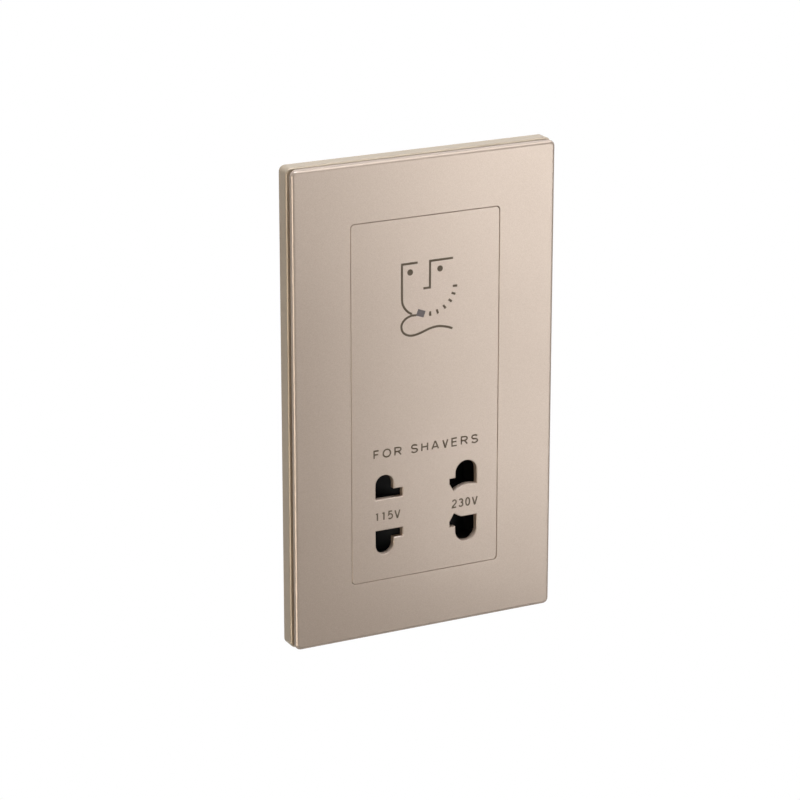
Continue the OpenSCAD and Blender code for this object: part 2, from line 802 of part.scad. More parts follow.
// A rectangular ring about the centre leg, between two heights.
module leg_ring(half_w, half_d, z0, z1) {
    difference() {
        box([-half_w, core_y - half_d, z0], [half_w, core_y + half_d, z1]);
        box([-leg - bobbin_gap, core_y - stack_t / 2 - bobbin_gap, z0 - over],
            [leg + bobbin_gap, core_y + stack_t / 2 + bobbin_gap, z1 + over]);
    }
}

module bobbin() {
    color("#e8e2d4") {
        leg_ring(bobbin_half, bobbin_half_d, z_bobbin, z_bobbin + 2 * section_h + 3 * flange_t);
        for (k = [0:2]) {
            z0 = z_bobbin + k * (section_h + flange_t);
            leg_ring(bobbin_flange_w, bobbin_flange_d, z0, z0 + flange_t);
        }
    }
}

// A winding with rounded corners in section k of the bobbin.
module winding(k) {
    z0 = z_bobbin + flange_t + k * (section_h + flange_t);
    difference() {
        translate([0, core_y, z0 + bobbin_gap / 2])
            linear_extrude(section_h - bobbin_gap)
                polygon(round_rect(2 * (bobbin_half + winding_t), 2 * (bobbin_half_d + winding_t),
                                   winding_t / 2));
        box([-bobbin_half - bobbin_gap / 2, core_y - bobbin_half_d - bobbin_gap / 2, z0 - over],
            [bobbin_half + bobbin_gap / 2, core_y + bobbin_half_d + bobbin_gap / 2, z0 + section_h + over]);
    }
}

module primary_winding() {
    color("#a9552c") winding(0);
}

module secondary_winding() {
    color("#b8652f") winding(1);
}

module thermal_cutout() {
    body_end = cutout_lead_l + 2 * cutout_half;
    color("#d9d4c8") translate([-cutout_half - cutout_lead_l, y_cutout, cutout_z])
        rotate([0, 90, 0])
            rotate_extrude()
                polygon([[0, 0], [cutout_lead_r, 0], [cutout_lead_r, cutout_lead_l - cutout_r],
                         [cutout_r, cutout_lead_l], [cutout_r, body_end],
                         [cutout_lead_r, body_end + cutout_r], [cutout_lead_r, body_end + cutout_lead_l],
                         [0, body_end + cutout_lead_l]]);
}

module rear_housing() {
    color("#57524c") difference() {
        union() {
            difference() {
                slab(2 * housing_half, 2 * housing_half_h, housing_r, y_web_back, y_housing);
                slab(2 * housing_in, 2 * housing_in_h, housing_r - housing_wall / 2,
                     y_web_back - over, y_housing_in);
            }
            for (sx = [-1, 1]) {
                for (z = [core_bottom + leg / 2, core_top - leg / 2])
                    rod(sx * core_hole_x, z, post_r, core_y + stack_t / 2, y_housing_in + housing_wall / 2);
                for (s = [-1, 1])
                    lug(sx, s);
                box([sx * cradle_x - cradle_t / 2, y_block, -housing_in_h - housing_wall / 2],
                    [sx * cradle_x + cradle_t / 2, y_housing_in + housing_wall / 2, block_z + block_h / 2]);
            }
        }
        for (sx = [-1, 1]) {
            for (z = [core_bottom + leg / 2, core_top - leg / 2])
                rod(sx * core_hole_x, z, core_screw_r + thread_gap, core_y,
                    core_y + stack_t / 2 + core_screw_bite + clip_gap);
            for (s = [-1, 1])
                rod(sx * lug_x, s * lug_z, lug_hole_r, -over, lug_t + over);
        }
        for (k = [0:vent_count - 1])
            translate([(k - (vent_count - 1) / 2) * vent_pitch, 0, (core_top + core_bottom) / 2])
                slab(vent_w, vent_h, vent_r, y_housing_in - over, y_housing + over);
        box([-block_half + cradle_t, y_housing_in - over, block_z - block_h / 2 + cradle_t],
            [block_half - cradle_t, y_housing + over, block_z + block_h / 2 - cradle_t]);
        for (k = [-1:1])
            translate([k * terminal_pitch, y_clamp + clamp_d / 2, -housing_half_h - over])
                cylinder(h = housing_wall + 2 * over, r = conductor_r + entry_gap);
    }
}

// A lug outside the housing's end wall, which seats on the base frame's boss.
module lug(sx, s) {
    rod(sx * lug_x, s * lug_z, lug_r, 0, lug_t);
    mirror([0, 0, s > 0 ? 0 : 1])
        box([sx * lug_x - lug_r + clip_gap, 0, housing_half_h - housing_wall / 2],
            [sx * lug_x + lug_r - clip_gap, lug_t, lug_z]);
}

module housing_screws() {
    length = lug_t + housing_screw_bite;
    color("#c2c4c6")
        for (sx = [-1, 1], s = [-1, 1])
            screw(sx * lug_x, s * lug_z, lug_t, housing_screw_r, length, housing_head_r, housing_head_t);
}

module terminal_block() {
    color("#e6e1d6") difference() {
        box([-block_half, y_block, block_low], [block_half, y_housing_in, block_low + block_h]);
        for (k = [-1:1])
            translate([k * terminal_pitch, 0, 0]) {
                box([-clamp_w / 2 - clamp_gap, y_block - over, block_z - clamp_h / 2 - clamp_gap],
                    [clamp_w / 2 + clamp_gap, y_clamp + clamp_d + clamp_gap,
                     block_z + clamp_h / 2 + clamp_gap]);
                rod(0, block_z, access_r, y_clamp + clamp_d - over, y_housing_in + over);
                box([-clamp_w / 2 - clamp_gap, y_block - over, block_low - over],
                    [clamp_w / 2 + clamp_gap, y_clamp + clamp_d / 2 + conductor_r + entry_gap, block_z]);
            }
    }
}

module terminal_clamps() {
    color("#c9a557")
        for (k = [-1:1])
            translate([k * terminal_pitch, y_clamp, block_z])
                difference() {
                    box([-clamp_w / 2, 0, -clamp_h / 2], [clamp_w / 2, clamp_d, clamp_h / 2]);
                    translate([0, clamp_d / 2, -clamp_h / 2 - over])
                        cylinder(h = clamp_h + over - clamp_roof_t, r = conductor_r);
                    rod(0, 0, terminal_screw_r + thread_gap, clamp_d / 2, clamp_d + over);
                }
}

module terminal_screws() {
    y_head = y_clamp + clamp_d + clamp_gap;
    length = clamp_d / 2 - conductor_r;
    color("#c2c4c6")
        for (k = [-1:1])
            screw(k * terminal_pitch, block_z, y_head, terminal_screw_r, length,
                  terminal_head_r, terminal_head_t);
}

// Smooth route through points, a few steps between each pair.
function route_point(p, i) = p[min(max(i, 0), len(p) - 1)];
function between(a, b, c, d, t) =
    b + ((c - a) * t + (2 * a - 5 * b + 4 * c - d) * t * t + (3 * b - a - 3 * c + d) * t * t * t) / 2;
function smooth(p) = concat(
    [for (i = [0:len(p) - 2], k = [0:lead_steps - 1])
        between(route_point(p, i - 1), p[i], p[i + 1], route_point(p, i + 2), k / lead_steps)],
    [p[len(p) - 1]]);
function heading(p, i) = unit(route_point(p, i + 1) - route_point(p, i - 1));
function square_to(v, d) = unit(v - (v * d) * d);
function carried(p, i, v) =
    i == len(p) ? [] :
    let(u = square_to(v, heading(p, i))) concat([u], carried(p, i + 1, u));
function lead_ring(c, d, u) =
    [for (j = [0:lead_sides - 1])
        let(a = 360 * j / lead_sides)
        c + lead_r * (cos(a) * u + sin(a) * cross(d, u))];

// An insulated lead along a route.
module lead(route) {
    p = smooth(route);
    u = carried(p, 0, lead_side);
    skin([for (i = [0:len(p) - 1]) lead_ring(p[i], heading(p, i), u[i])]);
}

// From a terminal out to one side, up past the contact block and forward under the core.
function mains_route(side) = [
    [side * terminal_pitch, y_clamp - lead_gap, block_z], [side * terminal_pitch, y_bend, block_z],
    [side * x_lane, y_bend, pair_z], [side * (x_side - lead_room), y_run, pair_z + link_z],
    [side * x_side, y_run, z_over], [side * x_side, y_cross, z_cross]
];
// From a contact's tab up behind the retainer and forward under the core to the bobbin's flange.
function tab_route(tab, x_pin) = [
    [tab[0], y_run, pair_z + tab[1] + strip_t / 2 + lead_gap], [tab[0], y_run, z_over],
    [(tab[0] + x_pin) / 2, y_cross, z_cross], [x_pin, y_pin, z_bobbin - lead_room],
    [x_pin, y_pin, z_bobbin - pin_gap]
];
lead_live_route = concat(mains_route(-1), [
    [-x_side, y_pin, core_bottom], [-bobbin_flange_w - lead_room, y_cutout + lead_r, z_bobbin - lead_room],
    [-cutout_half - cutout_lead_l - 2 * lead_room, y_cutout, cutout_z - lead_room],
    [-cutout_half - cutout_lead_l - lead_gap, y_cutout, cutout_z]
]);
lead_neutral_route = concat(mains_route(1), [
    [(x_side + pin_x[3]) / 2, y_pin, core_bottom], [pin_x[3], y_pin, z_bobbin - lead_room],
    [pin_x[3], y_pin, z_bobbin - pin_gap]
]);

module lead_live() {
    color("#7a4a2c") lead(lead_live_route);
}

module lead_neutral() {
    color("#3f6fa8") lead(lead_neutral_route);
}

module lead_common() {
    color("#2c2c2c") lead(tab_route(tab_places[2], pin_x[1]));
}

module lead_115() {
    color("#e0c23c") lead(tab_route(tab_places[0], pin_x[0]));
}

module lead_230() {
    color("#b23a2e") lead(tab_route(tab_places[1], pin_x[2]));
}

front_plate();
clip_frame();
base_frame();
face_insert();
shutter_slide();
spring_left();
spring_right();
contact_carrier();
contact_retainer();
carrier_screws();
contact_common();
contact_115();
contact_230();
core_e();
core_i();
core_screws();
bobbin();
primary_winding();
secondary_winding();
thermal_cutout();
rear_housing();
housing_screws();
terminal_block();
terminal_clamps();
terminal_screws();
lead_live();
lead_neutral();
lead_common();
lead_115();
lead_230();
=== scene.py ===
# Shaver socket on a two-gang wall plate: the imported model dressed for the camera.
# X runs right, Z up and Y into the wall, and the origin lies on the wall face between the fixing holes.
# The object's sizes are written in millimetres and carried over by mm; the studio's are in metres.
import math

import bmesh
import bpy
import numpy as np
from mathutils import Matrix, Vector


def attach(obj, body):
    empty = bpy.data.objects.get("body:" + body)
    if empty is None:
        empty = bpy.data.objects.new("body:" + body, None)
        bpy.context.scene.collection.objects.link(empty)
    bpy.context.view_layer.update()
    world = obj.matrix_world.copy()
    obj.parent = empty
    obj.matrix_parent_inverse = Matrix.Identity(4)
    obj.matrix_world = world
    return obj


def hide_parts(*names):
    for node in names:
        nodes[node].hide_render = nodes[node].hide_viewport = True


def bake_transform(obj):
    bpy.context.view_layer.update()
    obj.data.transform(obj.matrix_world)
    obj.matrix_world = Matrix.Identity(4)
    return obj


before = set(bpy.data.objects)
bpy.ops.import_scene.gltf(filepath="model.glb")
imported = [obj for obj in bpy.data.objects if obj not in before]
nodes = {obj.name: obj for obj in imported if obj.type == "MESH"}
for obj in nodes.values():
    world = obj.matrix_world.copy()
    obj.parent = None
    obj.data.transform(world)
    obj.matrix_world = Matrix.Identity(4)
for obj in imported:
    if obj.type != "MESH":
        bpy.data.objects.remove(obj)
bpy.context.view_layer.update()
mm = 0.001


# The camera stands a little left of the plate and above it, with a long lens,
# as the photograph's does, and looks at a point just left of the plate's centre.
def placed(name, data):
    """A new object with that data, at the origin and in the scene."""
    made = bpy.data.objects.new(name, data)
    bpy.context.scene.collection.objects.link(made)
    return made


azimuth = math.radians(-27.0)
elevation = math.radians(18.0)
camera_distance = 944.5 * mm
aim = Vector((-6.4, -4.0, -1.2)) * mm
camera_data = bpy.data.cameras.new("camera")
camera_data.sensor_width = 36.0
camera_data.lens = 144.4
camera_data.clip_start = 0.01
camera_data.clip_end = 20.0
camera = placed("camera", camera_data)
level_reach = math.cos(elevation)
to_camera = Vector((math.sin(azimuth) * level_reach, -math.cos(azimuth) * level_reach, math.sin(elevation)))
camera.location = aim + to_camera * camera_distance
camera.rotation_mode = "QUATERNION"
camera.rotation_quaternion = (-to_camera).to_track_quat("-Z", "Y")
bpy.context.scene.camera = camera
bpy.context.scene.view_settings.view_transform = "Standard"


# The studio: a plain white floor, a white wall that the plate is let into, and a white surround. The
# camera, and satin or clear surfaces, see them as plain white; matt surfaces get a dim even light.
# The wall is clear from behind, so that the housing shows there.
def add_node(tree, kind, **sockets):
    """A new shader node of that kind, with some of its input sockets set by name."""
    made = tree.nodes.new(kind)
    for socket, value in sockets.items():
        made.inputs[socket.replace("_", " ")].default_value = value
    return made


def maths(tree, operation, first, second=0.0):
    """The result of one operation on a socket and a number or a second socket."""
    made = tree.nodes.new("ShaderNodeMath")
    made.operation = operation
    tree.links.new(first, made.inputs[0])
    if isinstance(second, float):
        made.inputs[1].default_value = second
    else:
        tree.links.new(second, made.inputs[1])
    return made.outputs[0]


def mixed(tree, share, first, second):
    """A mix of two shaders; a share of 1 gives the second alone."""
    mix = add_node(tree, "ShaderNodeMixShader")
    for socket, part in zip(mix.inputs, (share, first, second)):
        tree.links.new(part, socket)
    return mix.outputs[0]


def white_when_seen(tree, plain, seen):
    """Mixes two shaders: plain for matt light paths, seen for camera, gloss and transmission rays."""
    path = add_node(tree, "ShaderNodeLightPath").outputs
    in_sight = maths(tree, "MAXIMUM", path["Is Camera Ray"], path["Is Glossy Ray"])
    in_sight = maths(tree, "MAXIMUM", in_sight, path["Is Transmission Ray"])
    return mixed(tree, in_sight, plain, seen)


def studio_plane(name, corners, faces, clear_behind=False):
    """A plane of the studio: matt white, plain white when seen, and clear from behind if asked."""
    material = bpy.data.materials.new("white_" + name)
    material.use_nodes = True
    tree = material.node_tree
    tree.nodes.clear()
    matt = add_node(tree, "ShaderNodeBsdfDiffuse", Color=matt_white).outputs[0]
    glow = add_node(tree, "ShaderNodeEmission", Strength=1.0).outputs[0]
    shown = white_when_seen(tree, matt, glow)
    if clear_behind:
        behind = add_node(tree, "ShaderNodeNewGeometry").outputs["Backfacing"]
        clear = add_node(tree, "ShaderNodeBsdfTransparent").outputs[0]
        shown = mixed(tree, behind, shown, clear)
    output = add_node(tree, "ShaderNodeOutputMaterial")
    tree.links.new(shown, output.inputs["Surface"])
    mesh = bpy.data.meshes.new(name)
    mesh.from_pydata(corners, [], faces)
    mesh.materials.append(material)
    return placed(name, mesh)


matt_white, full_white = (0.8, 0.8, 0.8, 1.0), (1.0, 1.0, 1.0, 1.0)
floor_z, floor_half = -0.6, 4.0
wall_y, hole_half_w, hole_half_h = 0.2 * mm, 36.0 * mm, 68.0 * mm
square = [(-1, -1), (1, -1), (1, 1), (-1, 1)]
floor_corners = [(x * floor_half, y * floor_half, floor_z) for x, y in square]
floor = studio_plane("floor", floor_corners, [(0, 1, 2, 3)])
wall_hole = [(x * hole_half_w, wall_y, z * hole_half_h) for x, z in square]
wall_rim = [(x * floor_half, wall_y, floor_half if z > 0 else floor_z) for x, z in square]
wall_faces = [(i, 4 + i, 4 + (i + 1) % 4, (i + 1) % 4) for i in range(4)]
wall = studio_plane("wall", wall_hole + wall_rim, wall_faces, clear_behind=True)

world = bpy.data.worlds.new("studio")
bpy.context.scene.world = world
world.use_nodes = True
world_tree = world.node_tree
world_tree.nodes.clear()
dim_sky = add_node(world_tree, "ShaderNodeBackground", Color=full_white, Strength=0.06).outputs[0]
white_sky = add_node(world_tree, "ShaderNodeBackground", Color=full_white, Strength=1.0).outputs[0]
world_output = add_node(world_tree, "ShaderNodeOutputWorld")
world_tree.links.new(white_when_seen(world_tree, dim_sky, white_sky), world_output.inputs["Surface"])


# Soft boxes: two to the right, which the satin face mirrors so that it fades from its upper right to its
# lower left, a low one in front, one overhead and one at the left for the sides, one each for the
# bright lines along the upper and left edges, and two behind for the housing.
def soft_box(name, place, width, height, radiance, gloss_only=False, tint=(1.0, 1.0, 1.0)):
    """A rectangular area lamp of even radiance, turned to the plate's centre, which the camera doesn't
    see itself. One for gloss only is mirrored by satin surfaces and adds nothing to matt ones."""
    data = bpy.data.lights.new(name, "AREA")
    data.shape = "RECTANGLE"
    data.size = width
    data.size_y = height
    data.energy = radiance * math.pi * width * height
    data.color = tint
    lamp = placed(name, data)
    lamp.location = place
    lamp.rotation_mode = "QUATERNION"
    lamp.rotation_quaternion = (plate_centre - Vector(place)).to_track_quat("-Z", "Y")
    lamp.visible_camera = False
    lamp.visible_diffuse = not gloss_only


plate_centre = Vector((0.0, -0.008, 0.0))
cool_white, warm_white = (0.96, 1.03, 1.16), (1.10, 1.0, 0.86)
soft_box("front_box", (0.071, -0.291, -0.010), 0.304, 0.075, 0.74)
soft_box("right_box", (0.651, -0.999, -0.290), 0.278, 0.442, 5.1)
soft_box("upper_right_box", (0.50, -1.0, -0.05), 0.56, 0.24, 2.4, True)
soft_box("top_box", (0.005, -0.15, 0.80), 0.468, 0.244, 16.0, False, cool_white)
soft_box("top_strip", (0.35, -0.25, 0.68), 0.70, 0.40, 4.5, True)
soft_box("left_strip", (-0.68, -0.34, -0.25), 0.45, 0.70, 6.6, True, warm_white)
soft_box("left_box", (-0.66, -0.24, 0.0), 0.30, 0.60, 1.2, False, warm_white)
soft_box("back_left_box", (-0.6, 0.7, 0.4), 0.6, 0.6, 1.8)
soft_box("back_right_box", (0.8, 0.6, 0.2), 0.6, 0.6, 1.2)


# The base frame lies on the wall and carries everything else. It is moulded in mineral-filled plastic
# and lacquered in the same champagne as the plate, a shade greyer.
def plain_finish(name, colour, roughness, metallic=0.0):
    """A material with one principled shader; gives the material and its shader node."""
    material = bpy.data.materials.new(name)
    material.use_nodes = True
    surface = material.node_tree.nodes["Principled BSDF"]
    surface.inputs["Base Color"].default_value = (*colour, 1.0)
    surface.inputs["Roughness"].default_value = roughness
    surface.inputs["Metallic"].default_value = metallic
    return material, surface


def noise(tree, cells_per_metre, detail, stretch=(1.0, 1.0, 1.0)):
    """Noise from 0 to 1 over the piece's own coordinates, stretched along the axes."""
    place = add_node(tree, "ShaderNodeTexCoord")
    spread = add_node(tree, "ShaderNodeMapping")
    spread.inputs["Scale"].default_value = stretch
    field = add_node(tree, "ShaderNodeTexNoise", Scale=cells_per_metre, Detail=detail)
    tree.links.new(place.outputs["Object"], spread.inputs["Vector"])
    tree.links.new(spread.outputs["Vector"], field.inputs["Vector"])
    return field.outputs["Fac"]


def ranged(tree, value, low, high, start=0.0, end=1.0):
    """A value carried from start..end over to low..high."""
    carry = add_node(tree, "ShaderNodeMapRange", From_Min=start, From_Max=end, To_Min=low, To_Max=high)
    tree.links.new(value, carry.inputs["Value"])
    return carry.outputs["Result"]


def mottle(tree, surface, value, other):
    """Lets a value from 0 to 1 carry the colour from another one to the finish's own. The mix node
    gives its sockets for numbers and for colours the same names, so they are taken by place."""
    colour = surface.inputs["Base Color"]
    mix = tree.nodes.new("ShaderNodeMix")
    mix.data_type = "RGBA"
    mix.inputs[mix_from].default_value = (*other, 1.0)
    mix.inputs[mix_to].default_value = colour.default_value
    tree.links.new(value, mix.inputs[mix_share])
    tree.links.new(mix.outputs[mix_result], colour)


def vary_gloss(tree, surface, value, spread):
    """Lets a value from 0 to 1 carry the roughness from a spread below the finish's own to one above."""
    roughness = surface.inputs["Roughness"]
    middle = roughness.default_value
    tree.links.new(ranged(tree, value, middle - spread, middle + spread), roughness)


def relief(tree, surface, height, depth, strength):
    """Raises the shaded surface by a height from 0 to 1 times a depth in metres."""
    bump = add_node(tree, "ShaderNodeBump", Strength=strength, Distance=depth)
    tree.links.new(height, bump.inputs["Height"])
    tree.links.new(bump.outputs["Normal"], surface.inputs["Normal"])


def set_mirror(material, level):
    """Sets how strongly a finish mirrors, where 0.5 is plain plastic."""
    material.node_tree.nodes["Principled BSDF"].inputs["Specular IOR Level"].default_value = level


def champagne(name, dark, light, roughness):
    """Satin metal-flake lacquer: fine flakes vary its colour, and broad clouds its gloss."""
    material, surface = plain_finish(name, light, roughness, 0.1)
    tree = material.node_tree
    flakes = noise(tree, flakes_per_metre, 3.0)
    mottle(tree, surface, ranged(tree, flakes, 0.0, 1.0, 0.35, 0.65), dark)
    vary_gloss(tree, surface, noise(tree, 70.0, 2.0), 0.02)
    relief(tree, surface, flakes, flake_height, 0.3)
    return material


def smooth_into(work, mesh):
    """Writes edited geometry to a mesh, shaded smoothly."""
    for face in work.faces:
        face.smooth = True
    work.to_mesh(mesh)
    work.free()


def keep_flats(piece):
    """Shades a piece smoothly while its large flat faces stay flat."""
    normals = piece.modifiers.new("flat_faces", "WEIGHTED_NORMAL")
    normals.weight = 100
    normals.keep_sharp = True


def broken_edges(node, name, body, material, width, corner=35.0):
    """Copies a CAD node, joins its loose triangles, and breaks every edge sharper than the corner angle
    with a small round of that width. The copy stands for the node."""
    mesh = nodes[node].data.copy()
    mesh.name = name
    work = bmesh.new()
    work.from_mesh(mesh)
    bmesh.ops.remove_doubles(work, verts=work.verts, dist=join_reach)
    bmesh.ops.dissolve_limit(work, angle_limit=flat_within, verts=work.verts, edges=work.edges)
    smooth_into(work, mesh)
    mesh.materials.clear()
    mesh.materials.append(material)
    piece = placed(name, mesh)
    bevel = piece.modifiers.new("broken_edges", "BEVEL")
    bevel.width = width
    bevel.segments = edge_segments
    bevel.limit_method = "ANGLE"
    bevel.angle_limit = math.radians(corner)
    bevel.use_clamp_overlap = False
    bevel.miter_outer = "MITER_ARC"
    keep_flats(piece)
    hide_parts(node)
    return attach(piece, body)


mix_share, mix_from, mix_to, mix_result = 0, 6, 7, 2
flakes_per_metre, flake_height = 5200.0, 0.01 * mm
join_reach, flat_within, edge_segments = 0.002 * mm, math.radians(0.3), 2
base_lacquer = champagne("base_lacquer", (0.46, 0.368, 0.262), (0.515, 0.412, 0.294), 0.36)
set_mirror(base_lacquer, 0.25)
base_moulding = broken_edges("base_frame", "base_moulding", "socket", base_lacquer, 0.12 * mm)


# The clip frame is a nylon moulding bonded into the back of the cover plate, with six hooks that
# snap into the base frame. Its recessed edge lies in the gap between plate and base, and its dark brown
# is painted shade that stands for the shadow in that gap.
def shaded(colour, share):
    """The same colour at a share of its brightness."""
    return tuple(part * share for part in colour)


def moulded(name, colour, roughness, grain=0.25):
    """Moulded plastic: a fine spark-eroded grain in relief, and slow clouds in gloss and colour."""
    material, surface = plain_finish(name, colour, roughness)
    tree = material.node_tree
    vary_gloss(tree, surface, noise(tree, 110.0, 2.0), 0.05)
    mottle(tree, surface, noise(tree, 900.0, 3.0), shaded(colour, 0.86))
    relief(tree, surface, noise(tree, grains_per_metre, 2.0), grain_height, grain)
    return material


grains_per_metre, grain_height = 5200.0, 0.02 * mm
# Painted shade: the nylon is coloured dark brown to stand for the shadow in the gap between plate and base.
nylon_painted_gap_shade = moulded("nylon_painted_gap_shade", (0.19, 0.115, 0.078), 0.6)
clip_moulding = broken_edges("clip_frame", "clip_moulding", "socket", nylon_painted_gap_shade, 0.1 * mm)


# The cover plate is a zinc die-casting in satin champagne lacquer with fine metal flakes in it. Its front
# edge is rounded, its sides draw in behind it, and its window has a fine round. It clips over the base.
def rounded_outline(half_w, half_h, radius, per_corner=12):
    """Points round a rectangle with rounded corners: each corner's centre plus radius times (cos, sin)
    over a quarter turn, as an array of X and Z."""
    turn = np.radians(np.arange(4)[:, None] * 90.0 + np.linspace(0.0, 90.0, per_corner)[None, :])
    signs = np.array([(1, 1), (-1, 1), (-1, -1), (1, -1)], dtype=float)
    centre = signs * (half_w - radius, half_h - radius)
    x = centre[:, None, 0] + radius * np.cos(turn)
    z = centre[:, None, 1] + radius * np.sin(turn)
    return np.stack([x.ravel(), z.ravel()], axis=1)


def grid_faces(rows, columns, close_rows, close_columns):
    """Quads between neighbouring points of a grid, as indices; closed directions wrap round."""
    r = np.arange(rows if close_rows else rows - 1)
    c = np.arange(columns if close_columns else columns - 1)
    r, c = np.meshgrid(r, c, indexing="ij")
    r1, c1 = (r + 1) % rows, (c + 1) % columns
    corners = [r * columns + c, r1 * columns + c, r1 * columns + c1, r * columns + c1]
    return np.stack([k.ravel() for k in corners], axis=1)


def closed_surface(name, points, faces, material):
    """A smooth-shaded object at the origin from arrays of points and quads; faces turn outwards."""
    mesh = bpy.data.meshes.new(name)
    mesh.from_pydata(points.reshape(-1, 3).tolist(), [], faces.tolist())
    work = bmesh.new()
    work.from_mesh(mesh)
    bmesh.ops.remove_doubles(work, verts=work.verts, dist=weld_reach)
    bmesh.ops.recalc_face_normals(work, faces=work.faces)
    smooth_into(work, mesh)
    mesh.materials.append(material)
    return placed(name, mesh)


def surface_piece(name, points, faces, material, body):
    """A closed surface that rides on a body."""
    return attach(closed_surface(name, points, faces, material), body)


def stacked_outlines(rows):
    """A closed surface through rounded rectangles: each row is half width, half height, radius and Y in
    millimetres, and the last row joins the first."""
    rings = [np.insert(rounded_outline(w, h, r), 1, y, axis=1) for w, h, r, y in rows]
    points = np.stack(rings) * mm
    return points, grid_faces(len(rows), points.shape[1], True, True)


def node_box(node):
    """The low and the high corner of a CAD node, in millimetres."""
    places = np.empty(3 * len(nodes[node].data.vertices), dtype=np.float32)
    nodes[node].data.vertices.foreach_get("co", places)
    places = places.astype(float).reshape(-1, 3) / mm
    return places.min(axis=0), places.max(axis=0)


def window_row(turn):
    """A row of the window's front edge: a quarter round that opens it by the radius times 1 - cos."""
    wider = window_round * (1 - math.cos(turn))
    y = plate_front + window_round * (1 - math.sin(turn))
    return window_half_w + wider, window_half_h + wider, window_r, y


def edge_row(turn):
    """A row of the plate's front edge: a quarter round that starts the radius times 1 - sin inside."""
    inside = plate_edge_r * (1 - math.sin(turn))
    y = plate_front + plate_edge_r * (1 - math.cos(turn))
    return plate_half_w - inside, plate_half_h - inside, plate_corner_r - inside, y


weld_reach = 0.0005 * mm
plate_low, plate_high = node_box("front_plate")
plate_half_w, _, plate_half_h = plate_high
plate_front, plate_back = plate_low[1], plate_high[1]
plate_seat, plate_edge_r, plate_corner_r = -6.8, 1.0, 1.8
side_land, side_draw, back_break = 0.35, 0.7, 0.15
window_half_w, window_half_h, window_r, window_round = 24.33, 55.08, 1.2, 0.18
seat_out_w, seat_out_h, seat_in_w, seat_in_h = 41.25, 71.25, 30.6, 56.1
side_w = plate_half_w - side_draw
edge_turn = np.linspace(0.0, math.pi / 2, 11)
plate_rows = [
    (seat_in_w, seat_in_h, plate_corner_r, plate_back),
    (window_half_w, window_half_h, window_r, plate_back),
    *[window_row(turn) for turn in edge_turn[::5]],
    *[edge_row(turn) for turn in edge_turn],
    (plate_half_w, plate_half_h, plate_corner_r, plate_front + plate_edge_r + side_land),
    (side_w, plate_half_h, plate_corner_r, plate_back - back_break),
    (side_w - back_break, plate_half_h - back_break, plate_corner_r, plate_back),
    (seat_out_w, seat_out_h, plate_corner_r, plate_back),
    (seat_out_w, seat_out_h, plate_corner_r, plate_seat),
    (seat_in_w, seat_in_h, plate_corner_r, plate_seat),
]
lacquer_dark, lacquer_light = (0.488, 0.374, 0.286), (0.546, 0.418, 0.32)
plate_lacquer = champagne("plate_lacquer", lacquer_dark, lacquer_light, 0.20)
cover_plate = surface_piece("cover_plate", *stacked_outlines(plate_rows), plate_lacquer, "socket")
keep_flats(cover_plate)
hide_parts("front_plate")


# The face insert is a flush polycarbonate moulding in the same lacquer, pierced by the four apertures,
# latched into the base frame from the front. Its front rim has a fine round, and the rims of the
# apertures have a larger one.
insert_lacquer = champagne("insert_lacquer", lacquer_dark, lacquer_light, 0.20)
insert_panel = broken_edges("face_insert", "insert_panel", "socket", insert_lacquer, 0.08 * mm, 40.0)
aperture_round, outer_round, hair, sharp_angle = 0.3 * mm, 0.18 * mm, 0.01 * mm, math.radians(60.0)
inside_half_w, inside_half_h = 20.0 * mm, 50.0 * mm
work = bmesh.new()
work.from_mesh(insert_panel.data)
front_edges = [edge for edge in work.edges
               if len(edge.link_faces) == 2 and edge.calc_face_angle(0.0) > sharp_angle
               and all(abs(v.co.y - plate_front * mm) < hair for v in edge.verts)]
aperture_edges = [edge for edge in front_edges
                  if all(abs(v.co.x) < inside_half_w and abs(v.co.z) < inside_half_h for v in edge.verts)]
outer_edges = [edge for edge in front_edges if edge not in aperture_edges]
bmesh.ops.bevel(work, geom=outer_edges, offset=outer_round, segments=3, profile=0.5, affect="EDGES")
aperture_edges = [edge for edge in aperture_edges if edge.is_valid]
bmesh.ops.bevel(work, geom=aperture_edges, offset=aperture_round, segments=4, profile=0.5, affect="EDGES")
smooth_into(work, insert_panel.data)


# The sign for shavers is pad-printed in dark brown ink: two strokes for the face, two eyes, the shaver
# with its cord, and six dashes of stubble. The lines are 0.68 mm wide with blunt ends.
def printing_ink(name, dark, light, mirror):
    """Matt printing ink, finely mottled between two shades."""
    material, surface = plain_finish(name, light, 0.5)
    tree = material.node_tree
    mottle(tree, surface, noise(tree, 3000.0, 2.0), dark)
    set_mirror(material, mirror)
    return material


def printed_stroke(path, width, closed=False):
    """A stroke of even width along points in X and Z, mitred at its bends: at each point the sides lie
    half a width away along the bisector of the neighbouring normals, longer by one over its cosine."""
    path = np.asarray(path, dtype=float)
    along = np.diff(np.vstack([path, path[:1]]) if closed else path, axis=0)
    along /= np.linalg.norm(along, axis=1)[:, None]
    normal = np.stack([-along[:, 1], along[:, 0]], axis=1)
    before = np.vstack([normal[-1:], normal[:-1]] if closed else [normal[:1], normal])
    after = normal if closed else np.vstack([normal, normal[-1:]])
    side = before + after
    side /= np.sum(side * before, axis=1)[:, None]
    left, right = path + side * width / 2, path - side * width / 2
    ring = np.stack([left, right, right, left], axis=1)
    depth = np.array([print_front, print_front, print_back, print_back])
    points = np.empty((len(path), 4, 3))
    points[:, :, 0], points[:, :, 2] = ring[:, :, 0], ring[:, :, 1]
    points[:, :, 1] = depth
    faces = grid_faces(len(path), 4, closed, True)
    last = 4 * (len(path) - 1)
    caps = [] if closed else [[0, 1, 2, 3], [last + 3, last + 2, last + 1, last]]
    return points.reshape(-1, 3) * mm, np.array([*faces.tolist(), *caps])


